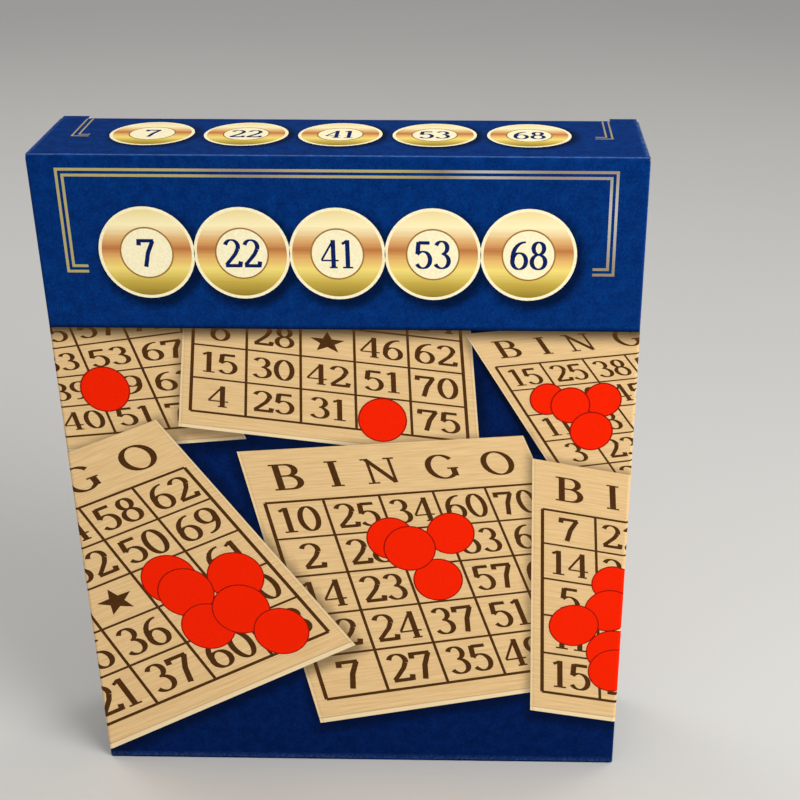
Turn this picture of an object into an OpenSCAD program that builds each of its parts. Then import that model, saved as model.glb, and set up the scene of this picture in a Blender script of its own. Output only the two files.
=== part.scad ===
// Boxed bingo game: a slim upright tuck-top carton with its playing pieces inside.
// Frame: millimetres, +Z up, front faces -Y, origin at the centre of the base.

/* [Carton] */
// Outside width of the carton
box_w = 194; // [190:1:230]
// Outside depth of the carton, front to back
box_d = 45; // [45:1:60]
// Outside height of the carton
box_h = 238; // [232:1:280]
// Thickness of the folding boxboard
board_t = 0.6; // [0.4:0.1:0.6]
// Outside radius of the four upright folds
corner_r = 1; // [0.8:0.1:2]
// Free gap between board faces that move past each other
board_gap = 0.1; // [0.05:0.05:0.15]

/* [Top closure] */
// Width of each flat ear beside the tuck fold
ear_w = 10; // [8:1:12]
// Width of the slit between an ear and the tuck fold
slit_w = 0.5; // [0.3:0.1:1]
// Outside radius of the soft fold between top panel and tuck flap
tuck_fold_r = 2.5; // [1.5:0.5:3]
// Length of the tuck flap beyond its fold
tuck_l = 14; // [10:1:14]
// Inward lean of the tuck flap when closed, in degrees
tuck_lean = 17; // [17:1:20]
// Radius of the tuck flap's two free corners
tuck_corner_r = 8; // [4:1:9]
// Reach of each dust flap from its fold
dust_l = 34; // [28:1:36]
// Width of the square shoulder at the back of each dust flap
shoulder_w = 8; // [5:1:8]

/* [Bottom closure] */
// Reach of each bottom minor flap from its fold
minor_l = 36; // [28:1:60]
// Reach of the inner bottom panel from the back
inner_bottom_l = 36; // [25:1:40]
// Width of the glue flap inside the left rear corner
glue_w = 14; // [8:1:18]

/* [Playing cards] */
// Number of playing cards
card_count = 8; // [4:1:8]
// Width of a playing card
card_w = 160; // [120:1:160]
// Height of a playing card
card_h = 200; // [150:1:200]
// Thickness of a playing card
card_t = 1.2; // [0.8:0.1:1.2]
// Radius of a card's corners
card_r = 3; // [1:0.5:6]
// Thickness of the caller's board
caller_t = 1.5; // [1:0.1:1.5]
// Width of the folded rules leaflet
leaflet_w = 120; // [80:1:150]
// Height of the folded rules leaflet
leaflet_h = 185; // [120:1:200]
// Thickness of the folded rules leaflet
leaflet_t = 0.5; // [0.3:0.1:0.5]

/* [Tray and discs] */
// Width of the formed insert tray
tray_w = 164; // [160:1:164]
// Height of the insert tray
tray_h = 203; // [180:1:203]
// Wall thickness of the insert tray
tray_t = 0.8; // [0.6:0.1:1]
// Outside radius of the tray's upright edges
tray_r = 4; // [2:1:6]
// Diameter of a well in the tray
well_d = 22; // [21.5:0.5:24]
// Distance between neighbouring wells across the tray
well_pitch = 31; // [28:1:32]
// Distance from the tray's top edge to the first row of wells
well_top = 17; // [15:1:25]
// Distance between the two rows of wells
well_row = 30; // [26:1:40]
// Diameter of a calling token
token_d = 20; // [18:0.5:20]
// Thickness of a calling token
token_t = 1.5; // [1.2:0.1:1.5]
// Number of calling tokens in one stack
token_count = 15; // [10:1:15]
// Diameter of a marker chip
marker_d = 19; // [16:0.5:20]
// Thickness of a marker chip
marker_t = 1.1; // [0.9:0.1:1.1]
// Number of marker chips in one stack
marker_count = 20; // [12:1:20]

/* [Hidden] */
$fn = 64;
CARDS = [for (i = [1:card_count]) str("playing_card_", i)];
LETTERS = ["b", "i", "n", "g", "o"];

// Colours
navy = [0.04, 0.17, 0.42];
royal = [0.06, 0.23, 0.55];
board_grey = [0.78, 0.76, 0.71];
card_tan = [0.86, 0.74, 0.55];
tray_white = [0.93, 0.93, 0.91];
token_ivory = [0.95, 0.92, 0.82];
chip_red = [0.86, 0.10, 0.05];

// Heights of the stacked layers at the top, from the outside in
lid_under_z = box_h - board_t;
front_top_z = lid_under_z - board_gap;
dust_top_z = lid_under_z - board_gap;
side_top_z = dust_top_z - board_t - board_gap;

// Inside faces of the walls
inner_x = box_w / 2 - board_t;
inner_y = box_d / 2 - board_t;

// Top panel: half width, and the soft fold at its rear edge
lid_half_w = box_w / 2 - 0.4;
fold_half_w = box_w / 2 - ear_w;
fold_y = inner_y - 0.15 - tuck_fold_r;
fold_z = box_h - tuck_fold_r;

// Dust flap: front edge starts inset and runs back at this slope, so that it clears the turning top panel
dust_inset = 1.2;
dust_slope = 0.45;
dust_back = box_d - 7;

// Contents: resting height and front faces, front to back
rest_z = 3 * board_t + 0.2;
front_play = 1.3;
card_gap = 0.3;
card_pitch = card_t + card_gap;
card_y = -inner_y + front_play;
caller_y = card_y + card_count * card_pitch + 0.1;
leaflet_y = caller_y + caller_t + 0.4;
tray_y = leaflet_y + leaflet_t + 0.4;
tray_back_y = inner_y - 0.5;
tray_d = tray_back_y - tray_y;
disc_gap = 0.1;

// Points along an arc about c, from angle a to angle b
function arc(c, r, a, b, n = 12) = [for (i = [0:n]) c + r * [cos(a + (b - a) * i / n), sin(a + (b - a) * i / n)]];

// Rounded rectangle centred on the origin
module rounded_rect(w, h, r) {
    square([w - 2 * r, h], center = true);
    square([w, h - 2 * r], center = true);
    for (x = [-1, 1], y = [-1, 1])
        translate([x * (w / 2 - r), y * (h / 2 - r)])
            circle(r);
}

// Upright sheet: a 2D outline in X and Z, thickness t behind its front face at y
module upright(y, t) {
    translate([0, y + t, 0])
        rotate([90, 0, 0])
            linear_extrude(t)
                children();
}

// Prism along X from a 2D outline in Y and Z
module along_x(length) {
    rotate([90, 0, 90])
        linear_extrude(length, center = true)
            children();
}

// Part of the carton's wall loop that lies inside a 2D region
module wall_loop(height) {
    translate([0, 0, board_t])
        linear_extrude(height - board_t)
            intersection() {
                difference() {
                    rounded_rect(box_w, box_d, corner_r);
                    rounded_rect(box_w - 2 * board_t, box_d - 2 * board_t, corner_r - board_t);
                }
                children();
            }
}

// Region of the front wall, mitred through the middle of both corner folds
module front_region() {
    polygon([
        [-box_w / 2, -box_d / 2],
        [box_w / 2, -box_d / 2],
        [(box_w - box_d) / 2, 0],
        [-(box_w - box_d) / 2, 0]
    ]);
}

// Region of the right wall, mitred the same way
module side_region() {
    polygon([
        [box_w / 2, -box_d / 2],
        [box_w / 2, box_d / 2],
        [(box_w - box_d) / 2, 0]
    ]);
}

module front_panel() {
    color(royal)
        wall_loop(front_top_z)
            front_region();
}

module back_panel() {
    color(navy)
        wall_loop(side_top_z)
            mirror([0, 1])
                front_region();
}

module right_side_panel() {
    color(navy)
        wall_loop(side_top_z)
            side_region();
}

module left_side_panel() {
    color(navy)
        wall_loop(side_top_z)
            mirror([1, 0])
                side_region();
}

// Glue flap: inside the left wall at the rear corner, with tapered ends
module glue_flap() {
    glue_bottom = 6;
    glue_top = side_top_z - 5;
    taper = glue_w / 3;
    color(board_grey)
        translate([-inner_x, inner_y - glue_w - 0.6, 0])
            rotate([90, 0, 90])
                linear_extrude(board_t)
                    polygon([
                        [0, glue_bottom + taper],
                        [glue_w, glue_bottom],
                        [glue_w, glue_top],
                        [0, glue_top - taper]
                    ]);
}

module bottom_outer_panel() {
    color(navy)
        linear_extrude(board_t)
            rounded_rect(box_w, box_d, corner_r);
}

module bottom_inner_panel() {
    color(board_grey)
        translate([-inner_x + 0.2, inner_y - 0.1 - inner_bottom_l, board_t])
            cube([2 * inner_x - 0.4, inner_bottom_l, board_t]);
}

// Bottom minor flap on the right, with tapered edges and rounded free corners
module minor_flap() {
    r = 5;
    half = inner_y - 0.3;
    narrow = half - 4;
    color(board_grey)
        translate([inner_x - 0.1, 0, 2 * board_t])
            linear_extrude(board_t)
                polygon(concat(
                    [[0, half]],
                    arc([-minor_l + r, narrow - r], r, 90, 180),
                    arc([-minor_l + r, -narrow + r], r, 180, 270),
                    [[0, -half]]
                ));
}

module bottom_minor_flap_right() {
    minor_flap();
}

module bottom_minor_flap_left() {
    mirror([1, 0, 0])
        minor_flap();
}

// Top panel: flat sheet hinged along its front edge, two rear ears, and the soft fold between them
module top_panel() {
    ear_corner_r = 1.5;
    color(royal) {
        translate([0, 0, lid_under_z])
            linear_extrude(board_t)
                difference() {
                    union() {
                        translate([-lid_half_w, -box_d / 2])
                            square([2 * lid_half_w, box_d - ear_corner_r]);
                        for (x = [-1, 1])
                            translate([x * (lid_half_w - ear_corner_r), box_d / 2 - ear_corner_r])
                                circle(ear_corner_r);
                        translate([-lid_half_w + ear_corner_r, 0])
                            square([2 * (lid_half_w - ear_corner_r), box_d / 2]);
                    }
                    translate([-fold_half_w, fold_y])
                        square([2 * fold_half_w, box_d]);
                }
        along_x(2 * (fold_half_w - slit_w))
            translate([fold_y, fold_z])
                intersection() {
                    difference() {
                        circle(tuck_fold_r);
                        circle(tuck_fold_r - board_t);
                    }
                    polygon([
                        [0, 0],
                        [0, 2 * tuck_fold_r],
                        [2 * tuck_fold_r, 2 * tuck_fold_r],
                        2 * tuck_fold_r * [cos(tuck_lean), -sin(tuck_lean)]
                    ]);
                }
    }
}

// Tuck flap: continues the soft fold, leans inward, tapers slightly and has round free corners
module tuck_flap() {
    root_w = fold_half_w - slit_w;
    tip_w = root_w - 2;
    r = tuck_corner_r;
    color(navy)
        translate([0, fold_y, fold_z])
            rotate([-tuck_lean, 0, 0])
                translate([0, tuck_fold_r, 0])
                    rotate([90, 0, 0])
                        linear_extrude(board_t)
                            polygon(concat(
                                [[-root_w, -board_gap]],
                                arc([-tip_w + r, -tuck_l + r], r, 180, 270),
                                arc([tip_w - r, -tuck_l + r], r, 270, 360),
                                [[root_w, -board_gap]]
                            ));
}

// Dust flap on the right: tapered front edge, round free end, and a shoulder under the ear
module dust_flap() {
    r = 7;
    tip_back = dust_back - 6;
    tip_front = dust_inset + dust_slope * dust_l;
    color(board_grey)
        translate([box_w / 2, -box_d / 2, dust_top_z - board_t])
            linear_extrude(board_t)
                polygon(concat(
                    [[0, dust_inset]],
                    arc([-dust_l + r, tip_front + r], r, 245, 180),
                    arc([-dust_l + r, tip_back - r], r, 180, 105),
                    [[-shoulder_w - 2, dust_back]],
                    [[-shoulder_w, box_d - 1.5]],
                    [[0, box_d - 1.2]]
                ));
}

module dust_flap_right() {
    dust_flap();
}

module dust_flap_left() {
    mirror([1, 0, 0])
        dust_flap();
}

// Flat upright card standing on the bottom flaps, its front face at y
module standing_card(y, w, h, t, r) {
    upright(y, t)
        translate([0, rest_z + h / 2])
            rounded_rect(w, h, r);
}

module playing_card(i) {
    color(card_tan)
        standing_card(card_y + (i - 1) * card_pitch, card_w, card_h, card_t, card_r);
}

module caller_board() {
    color(royal)
        standing_card(caller_y, card_w, card_h, caller_t, card_r);
}

module rules_leaflet() {
    color("white")
        standing_card(leaflet_y, leaflet_w, leaflet_h, leaflet_t, 0.5);
}

// Centre of the well in a column, 1 to 5, and a row, 1 or 2, as X and Z
function well_xz(column, row) = [(column - 3) * well_pitch, rest_z + tray_h - well_top - (row - 1) * well_row];

// Insert tray: a front plate and skirt, open at the back, with two rows of round wells
module insert_tray() {
    plate_y = tray_y + tray_t;
    mid_z = rest_z + tray_h / 2;
    color(tray_white)
        difference() {
            union() {
                difference() {
                    upright(tray_y, tray_d)
                        translate([0, mid_z])
                            rounded_rect(tray_w, tray_h, tray_r);
                    upright(plate_y, tray_d)
                        translate([0, mid_z])
                            rounded_rect(tray_w - 2 * tray_t, tray_h - 2 * tray_t, tray_r - tray_t);
                }
                for (column = [1:5], row = [1:2])
                    upright(tray_y, tray_d)
                        translate(well_xz(column, row))
                            circle(well_d / 2 + tray_t);
            }
            for (column = [1:5], row = [1:2])
                upright(tray_y - 1, tray_d + 1 - tray_t)
                    translate(well_xz(column, row))
                        circle(well_d / 2);
        }
}

// Stack of loose discs lying on the lower wall of a well, from its floor forwards
module disc_stack(column, row, d, t, count) {
    play = (well_d - d) / 2 - disc_gap;
    floor_y = tray_back_y - tray_t - disc_gap;
    for (i = [1:count])
        upright(floor_y - i * t - (i - 1) * disc_gap, t)
            translate(well_xz(column, row) - [0, play])
                circle(d / 2);
}

module calling_tokens(column) {
    color(token_ivory)
        disc_stack(column, 1, token_d, token_t, token_count);
}

module marker_stack(column) {
    color(chip_red)
        disc_stack(column, 2, marker_d, marker_t, marker_count);
}

front_panel();
back_panel();
left_side_panel();
right_side_panel();
glue_flap();
bottom_outer_panel();
bottom_inner_panel();
bottom_minor_flap_left();
bottom_minor_flap_right();
top_panel();
tuck_flap();
dust_flap_left();
dust_flap_right();
for (i = [1:card_count]) playing_card(i);
caller_board();
rules_leaflet();
insert_tray();
for (i = [1:5]) calling_tokens(i);
for (i = [1:5]) marker_stack(i);
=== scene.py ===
"""Looks of the boxed bingo game: printed carton, its folds, and the cards, board, tray and discs inside it.

Shapes are drawn in each surface's own millimetres, and that surface's place() puts them in the part's
frame, in metres.
"""

import math
import random

import bmesh
import bpy
from mathutils import Matrix, Vector


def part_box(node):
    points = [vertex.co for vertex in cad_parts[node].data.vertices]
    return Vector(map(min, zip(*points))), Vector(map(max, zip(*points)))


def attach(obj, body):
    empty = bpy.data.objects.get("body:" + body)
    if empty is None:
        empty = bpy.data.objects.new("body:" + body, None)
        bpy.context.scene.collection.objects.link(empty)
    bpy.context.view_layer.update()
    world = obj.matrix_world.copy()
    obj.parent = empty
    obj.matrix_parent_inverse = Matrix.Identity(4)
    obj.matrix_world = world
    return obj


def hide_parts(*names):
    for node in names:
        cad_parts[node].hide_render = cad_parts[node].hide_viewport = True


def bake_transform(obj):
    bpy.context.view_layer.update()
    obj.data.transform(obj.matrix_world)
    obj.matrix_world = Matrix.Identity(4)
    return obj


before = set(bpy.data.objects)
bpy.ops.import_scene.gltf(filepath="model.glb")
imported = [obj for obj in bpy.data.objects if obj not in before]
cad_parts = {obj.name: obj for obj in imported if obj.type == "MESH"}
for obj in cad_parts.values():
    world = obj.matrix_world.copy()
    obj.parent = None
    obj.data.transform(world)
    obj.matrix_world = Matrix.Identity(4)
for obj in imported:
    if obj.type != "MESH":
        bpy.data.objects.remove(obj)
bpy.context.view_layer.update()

# ---------------------------------------------------------------- sizes, in millimetres, from the frame

MM = 0.001


def node_box(node):
    """Lowest and highest corner of a CAD node, in millimetres."""
    low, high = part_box(node)
    return low / MM, high / MM


HALF_W = node_box("right_side_panel")[1].x
HALF_D = -node_box("front_panel")[0].y
BOARD = node_box("bottom_outer_panel")[1].z
WALL_TOP = node_box("left_side_panel")[1].z
LID_HIGH = node_box("top_panel")[1]
BOX_H = LID_HIGH.z
LID_HALF_W = LID_HIGH.x
CORNER_R = 1.0
BAND_Z = 180.0

FILM_T = 0.012

# ---------------------------------------------------------------- colours


def srgb(r, g, b):
    """Linear colour of a 0-255 display colour."""
    return tuple((c / 255 + 0.055) ** 2.4 / 1.055**2.4 if c > 10 else c / 3294.6 for c in (r, g, b))


ROYAL = srgb(2, 40, 101)
ROYAL_PALE = srgb(5, 56, 126)
NAVY = srgb(0, 22, 70)
NAVY_PALE = srgb(3, 34, 92)
CARD_LIGHT = srgb(232, 198, 145)
CARD_TAN = srgb(218, 179, 124)
CARD_GRAIN = srgb(192, 148, 94)
INK = srgb(74, 44, 16)
CHIP_RED = srgb(240, 34, 2)
CHIP_EDGE = srgb(146, 16, 4)
CREAM = srgb(246, 232, 190)
# Title bracket colours: the metallic ink's own silver, brown and pale gold, which also carry a painted sheen.
BRACKET_TINT_AND_SHEEN_STOPS = ((0.42, srgb(190, 188, 184)), (0.51, srgb(146, 130, 104)), (0.6, srgb(176, 162, 108)))
GOLD_STOPS = (
    (0.00, srgb(146, 122, 44)),
    (0.16, srgb(196, 168, 72)),
    (0.32, srgb(240, 216, 120)),
    (0.44, srgb(226, 178, 104)),
    (0.55, srgb(188, 118, 66)),
    (0.66, srgb(222, 172, 110)),
    (0.82, srgb(250, 236, 186)),
    (1.00, srgb(236, 214, 150)),
)
RING_GOLD = srgb(150, 108, 44)
BOARD_GREY = srgb(206, 200, 188)

# ---------------------------------------------------------------- node materials


class Shader:
    """A Principled material, built node by node."""

    def __init__(self, name, roughness=0.5, specular=0.5, coat=0.0, coat_roughness=0.1):
        self.material = bpy.data.materials.new(name)
        self.material.use_nodes = True
        self.tree = self.material.node_tree
        self.bsdf = self.tree.nodes["Principled BSDF"]
        self.set("Roughness", roughness)
        self.set("Specular IOR Level", specular)
        self.set("Coat Weight", coat)
        self.set("Coat Roughness", coat_roughness)
        self.coords = self.node("TexCoord").outputs["Object"]

    def feed(self, socket, value):
        """Links a node's output to the socket, or sets it to a constant or a colour."""
        if isinstance(value, bpy.types.NodeSocket):
            self.tree.links.new(value, socket)
        elif isinstance(value, tuple) and socket.type == "RGBA":
            socket.default_value = (*value, 1.0)
        else:
            socket.default_value = value

    def set(self, name, value):
        """Feeds one of the shader's own sockets."""
        self.feed(self.bsdf.inputs[name], value)

    def node(self, kind, inputs=None, **properties):
        made = self.tree.nodes.new("ShaderNode" + kind)
        for key, value in properties.items():
            setattr(made, key, value)
        for key, value in (inputs or {}).items():
            self.feed(made.inputs[key], value)
        return made

    def uv(self):
        """The printed layer's own coordinates."""
        return self.node("UVMap", uv_map="print_uv").outputs["UV"]

    def stretch(self, scale, vector=None):
        return self.node("Mapping", {"Vector": vector or self.coords, "Scale": scale}).outputs["Vector"]

    def noise(self, scale, detail=3.0, roughness=0.5, vector=None):
        inputs = {"Vector": vector or self.coords, "Scale": scale, "Detail": detail, "Roughness": roughness}
        return self.node("TexNoise", inputs).outputs["Fac"]

    def cells(self, scale, feature="F1", vector=None):
        found = self.node("TexVoronoi", {"Vector": vector or self.coords, "Scale": scale}, feature=feature)
        return found.outputs["Distance"]

    def axis(self, name, vector=None):
        return self.node("SeparateXYZ", {"Vector": vector or self.coords}).outputs[name]

    def math(self, operation, a, b=0.0, c=0.0, clamp=False):
        return self.node("Math", {0: a, 1: b, 2: c}, operation=operation, use_clamp=clamp).outputs["Value"]

    def span(self, value, low, high, to_low=0.0, to_high=1.0):
        """value mapped from low..high to to_low..to_high, and held at the ends."""
        inputs = {"Value": value, "From Min": low, "From Max": high, "To Min": to_low, "To Max": to_high}
        return self.node("MapRange", inputs, clamp=True).outputs["Result"]

    def mix(self, factor, a, b):
        """A colour between a and b."""
        return self.node("Mix", {0: factor, 6: a, 7: b}, data_type="RGBA").outputs[2]

    def ramp(self, factor, stops):
        """A colour ramp with those (position, colour) stops."""
        made = self.node("ValToRGB", {"Fac": factor})
        elements = made.color_ramp.elements
        while len(elements) < len(stops):
            elements.new(0.5)
        for element, (position, colour) in zip(elements, stops):
            element.position = position
            element.color = (*colour, 1.0)
        return made.outputs["Color"]

    def attribute(self, name):
        return self.node("Attribute", attribute_name=name, attribute_type="GEOMETRY").outputs["Fac"]

    def bump(self, height, distance, strength=1.0):
        """Surface relief of that depth in metres."""
        inputs = {"Height": height, "Distance": distance, "Strength": strength}
        self.set("Normal", self.node("Bump", inputs).outputs["Normal"])


def royal_mottle(s):
    """The title band's blue, unevenly printed."""
    return s.mix(s.span(s.noise(260, detail=5.0, roughness=0.62), 0.4, 0.72), ROYAL, ROYAL_PALE)


def carton_print():
    """Gloss-coated blue print with a fine mottle, darker below the title band, scuffed on the folds."""
    s = Shader("carton_print", specular=0.0, coat=0.06, coat_roughness=0.22)
    in_band = s.span(s.axis("Z"), (BAND_Z - 0.1) * MM, (BAND_Z + 0.1) * MM)
    patches = s.noise(260, detail=5.0, roughness=0.62)
    grit = s.noise(1300, detail=3.0, roughness=0.6)
    both = s.math("ADD", s.math("MULTIPLY", patches, 0.5), s.math("MULTIPLY", grit, 0.5))
    mottle = s.span(both, 0.41, 0.64)
    base = s.mix(in_band, s.mix(mottle, NAVY, NAVY_PALE), s.mix(mottle, ROYAL, ROYAL_PALE))
    pores = s.cells(1150, feature="DISTANCE_TO_EDGE")
    base = s.mix(s.span(pores, 0.0, 0.16, 0.3, 0.0), base, srgb(1, 20, 62))
    base = s.mix(s.attribute("shade"), base, srgb(1, 5, 16))
    scuffs = s.span(s.noise(900, detail=4.0, roughness=0.7), 0.46, 0.62)
    worn = s.math("MULTIPLY", s.attribute("wear"), s.math("MULTIPLY_ADD", scuffs, 0.75, 0.25), clamp=True)
    base = s.mix(worn, base, srgb(84, 116, 166))
    s.set("Base Color", base)
    s.set("Roughness", s.span(patches, 0.3, 0.7, 0.3, 0.44))
    s.bump(s.math("ADD", s.math("MULTIPLY", patches, 0.7), s.span(pores, 0.0, 0.2)), 0.00004, 0.7)
    return s.material


def navy_print():
    """Satin navy print with a faint mottle."""
    s = Shader("navy_print", roughness=0.45, specular=0.2)
    mottle = s.span(s.noise(240, detail=5.0, roughness=0.6), 0.4, 0.7)
    s.set("Base Color", s.mix(mottle, NAVY_PALE, ROYAL_PALE))
    s.bump(mottle, 0.00002, 0.4)
    return s.material


def carton_fold():
    """Blue print over a tight fold, paler along its crest: cracked coating, and a painted highlight where the
    crease catches light.
    """
    s = Shader("carton_fold", roughness=0.42, specular=0.0, coat=0.06, coat_roughness=0.22)
    base = royal_mottle(s)
    cracks = s.span(s.noise(1400, detail=5.0, roughness=0.7, vector=s.stretch((0.3, 1.0, 1.0))), 0.45, 0.65)
    # The wear attribute marks the fold's crest, painted paler for cracked coating and for a painted highlight
    # on the crease.
    worn = s.math("MULTIPLY", s.attribute("wear"), s.math("MULTIPLY_ADD", cracks, 0.35, 0.25), clamp=True)
    s.set("Base Color", s.mix(worn, base, srgb(96, 130, 184)))
    s.bump(cracks, 0.00004, 0.5)
    return s.material


def boxboard(name, colour, fibre=1.0):
    """Uncoated grey-white board with short fibres and specks."""
    s = Shader(name, roughness=0.85, specular=0.25)
    fibres = s.noise(700, detail=6.0, roughness=0.7)
    cloud = s.noise(40, detail=2.0)
    dark = tuple(c * 0.78 for c in colour)
    base = s.mix(s.span(fibres, 0.3, 0.72, 0.55 * fibre, 0.0), colour, dark)
    base = s.mix(s.span(cloud, 0.35, 0.7, 0.0, 0.12), base, srgb(232, 226, 212))
    specks = s.span(s.noise(1900, detail=2.0), 0.7, 0.76, 0.0, 0.45 * fibre)
    s.set("Base Color", s.mix(specks, base, srgb(120, 108, 92)))
    s.bump(fibres, 0.00006, 0.6)
    return s.material


def card_print():
    """Wood-pattern print, in the card's cell coordinates, with the pale edge strips of the drawn cards."""
    s = Shader("card_print", roughness=0.48, specular=0.05)
    uv = s.uv()
    grain = s.noise(2.2, detail=6.0, roughness=0.62, vector=s.stretch((0.55, 9.0, 1.0), uv))
    streak = s.noise(4.0, detail=3.0, roughness=0.5, vector=s.stretch((0.35, 16.0, 1.0), uv))
    base = s.mix(s.span(grain, 0.36, 0.66), CARD_LIGHT, CARD_TAN)
    base = s.mix(s.span(streak, 0.54, 0.7, 0.0, 0.5), base, CARD_GRAIN)
    u = s.axis("X", uv)
    v = s.axis("Y", uv)
    low_strip = s.span(v, -0.40, -0.39, 1.0, 0.0)
    side = s.math("ABSOLUTE", s.math("SUBTRACT", u, 2.5))
    side_strip = s.span(side, 2.65, 2.66, 0.0, 0.5)
    strip = s.math("MAXIMUM", low_strip, side_strip)
    base = s.mix(s.math("MULTIPLY", strip, 0.65), base, srgb(242, 224, 182))
    seam_low = s.span(s.math("ABSOLUTE", s.math("ADD", v, 0.395)), 0.0, 0.02, 0.6, 0.0)
    seam_side = s.span(s.math("ABSOLUTE", s.math("SUBTRACT", side, 2.655)), 0.0, 0.02, 0.25, 0.0)
    base = s.mix(s.math("MAXIMUM", seam_low, seam_side), base, srgb(150, 112, 66))
    base = s.mix(s.attribute("shade"), base, srgb(20, 12, 8))
    s.set("Base Color", base)
    s.bump(grain, 0.00003, 0.4)
    return s.material


def ink(name, colour, unevenness=0.6):
    """Printed ink, a little uneven."""
    s = Shader(name, roughness=0.42, specular=0.005)
    uneven = s.noise(1100, detail=3.0)
    paler = tuple(min(1.0, c * 1.35 + 0.012) for c in colour)
    s.set("Base Color", s.mix(s.span(uneven, 0.4, 0.75, 0.0, unevenness), colour, paler))
    s.bump(uneven, 0.00001, 0.3)
    return s.material


def gold_print():
    """Gold letterpress look: a gradient down each ball, from cream over copper to yellow and olive gold."""
    s = Shader("gold_print", roughness=0.45, specular=0.0, coat=0.01, coat_roughness=0.3)
    height = s.axis("Y", s.uv())
    lines = s.noise(1.0, detail=2.0, vector=s.stretch((0.6, 34.0, 1.0), s.uv()))
    base = s.ramp(s.math("MULTIPLY_ADD", s.math("SUBTRACT", lines, 0.5), 0.05, height), GOLD_STOPS)
    s.set("Base Color", base)
    s.bump(lines, 0.00001, 0.3)
    return s.material


def bracket_print():
    """Fine metallic lines whose colour drifts from silver over brown to pale gold: the ink's own tint, with a
    painted sheen.
    """
    s = Shader("bracket_print", roughness=0.34, specular=0.05, coat=0.03)
    # Painted sheen: a slow noise drifts the colour along the lines between silver, brown and pale gold.
    s.set("Base Color", s.ramp(s.noise(14, detail=1.0), BRACKET_TINT_AND_SHEEN_STOPS))
    s.bump(s.noise(1100, detail=3.0), 0.00001, 0.3)
    return s.material


def plastic(name, colour, roughness):
    """Moulded plastic: slightly cloudy colour, fine surface texture and a softly uneven gloss."""
    s = Shader(name, roughness=roughness, specular=0.4, coat=0.1, coat_roughness=0.15)
    cloud = s.noise(60, detail=3.0)
    fine = s.noise(1500, detail=3.0)
    darker = tuple(c * 0.94 for c in colour)
    s.set("Base Color", s.mix(s.span(cloud, 0.3, 0.75), colour, darker))
    s.set("Roughness", s.span(s.noise(45, detail=2.0), 0.3, 0.75, roughness * 0.9, roughness * 1.3))
    s.bump(fine, 0.00002, 0.4)
    return s.material


def studio_floor():
    """Plain pale floor."""
    s = Shader("studio_floor", roughness=0.75, specular=0.2)
    s.set("Base Color", s.mix(s.noise(3, detail=2.0), srgb(208, 206, 201), srgb(202, 200, 195)))
    return s.material


def folded_board(name, axis):
    """Board that is printed blue on the side that faces outwards in the closed carton."""
    s = Shader(name, roughness=0.6, specular=0.1)
    facing = s.axis(axis, s.node("TexCoord").outputs["Normal"])
    outside = s.span(facing, 0.5, 0.6)
    fibres = s.noise(700, detail=6.0, roughness=0.7)
    raw = s.mix(s.span(fibres, 0.3, 0.72, 0.5, 0.0), BOARD_GREY, tuple(c * 0.78 for c in BOARD_GREY))
    s.set("Base Color", s.mix(outside, raw, royal_mottle(s)))
    s.bump(fibres, 0.00005, 0.5)
    return s.material


MATERIAL = {
    "blue": carton_print(),
    "fold": carton_fold(),
    "navy": navy_print(),
    "dust": folded_board("dust_board", "Z"),
    "tuck": folded_board("tuck_board", "Y"),
    "board": boxboard("board_inside", BOARD_GREY),
    "greyboard": boxboard("card_core", srgb(168, 158, 142)),
    "card": card_print(),
    "ink": ink("card_ink", INK),
    "chip": ink("chip_print", CHIP_RED, unevenness=0.2),
    "chip_edge": ink("chip_outline", CHIP_EDGE),
    "gold": gold_print(),
    "cream": ink("cream_print", CREAM),
    "bracket": bracket_print(),
    "ring": ink("ring_print", RING_GOLD),
    "navy_ink": ink("navy_ink", srgb(10, 28, 84)),
    "white_paper": boxboard("leaflet_paper", srgb(238, 236, 228), fibre=0.4),
    "grey_ink": ink("leaflet_ink", srgb(70, 74, 84)),
    "tray": plastic("tray_plastic", srgb(232, 232, 226), 0.28),
    "token": plastic("token_plastic", srgb(238, 226, 190), 0.32),
    "marker": plastic("marker_plastic", srgb(214, 30, 18), 0.2),
}

# ---------------------------------------------------------------- surfaces, from mm on them to metres


def wall_place(quarter_turns):
    """An upright wall: x runs across it, y is the height, and x past the flat bends round the corner fold."""
    half, out = (HALF_W, HALF_D) if quarter_turns % 2 == 0 else (HALF_D, HALF_W)
    turn = Matrix.Rotation(math.pi / 2 * quarter_turns, 3, "Z")
    flat = half - CORNER_R

    def place(x, y, height):
        past = max(0.0, abs(x) - flat)
        angle = past / CORNER_R
        reach = CORNER_R + height
        across = math.copysign(min(abs(x), flat) + reach * math.sin(angle), x)
        return turn @ Vector((across, -(out - CORNER_R) - reach * math.cos(angle), y)) * MM

    return place


TUCK_FOLD_R = 2.5
FOLD_Y = LID_HIGH.y - 0.75 - TUCK_FOLD_R
LEAN = math.radians(17)
FOLD_HALF_W = HALF_W - 10
SLIT_W = 0.5


def lid_place(x, y, height):
    """The top panel: y is its depth, and past the flat it rolls down over the tuck fold."""
    if abs(x) > FOLD_HALF_W - SLIT_W / 2 + 0.01 or y <= FOLD_Y:
        return Vector((x, y, BOX_H + height)) * MM
    angle = (y - FOLD_Y) / TUCK_FOLD_R
    reach = TUCK_FOLD_R + height
    return Vector((x, FOLD_Y + reach * math.sin(angle), BOX_H - TUCK_FOLD_R + reach * math.cos(angle))) * MM


def facing_front(y_front):
    """A flat face towards -Y at that depth."""

    def place(x, y, height):
        return Vector((x, y_front - height, y)) * MM

    return place


# ---------------------------------------------------------------- printed layers as thin closed solids


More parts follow.
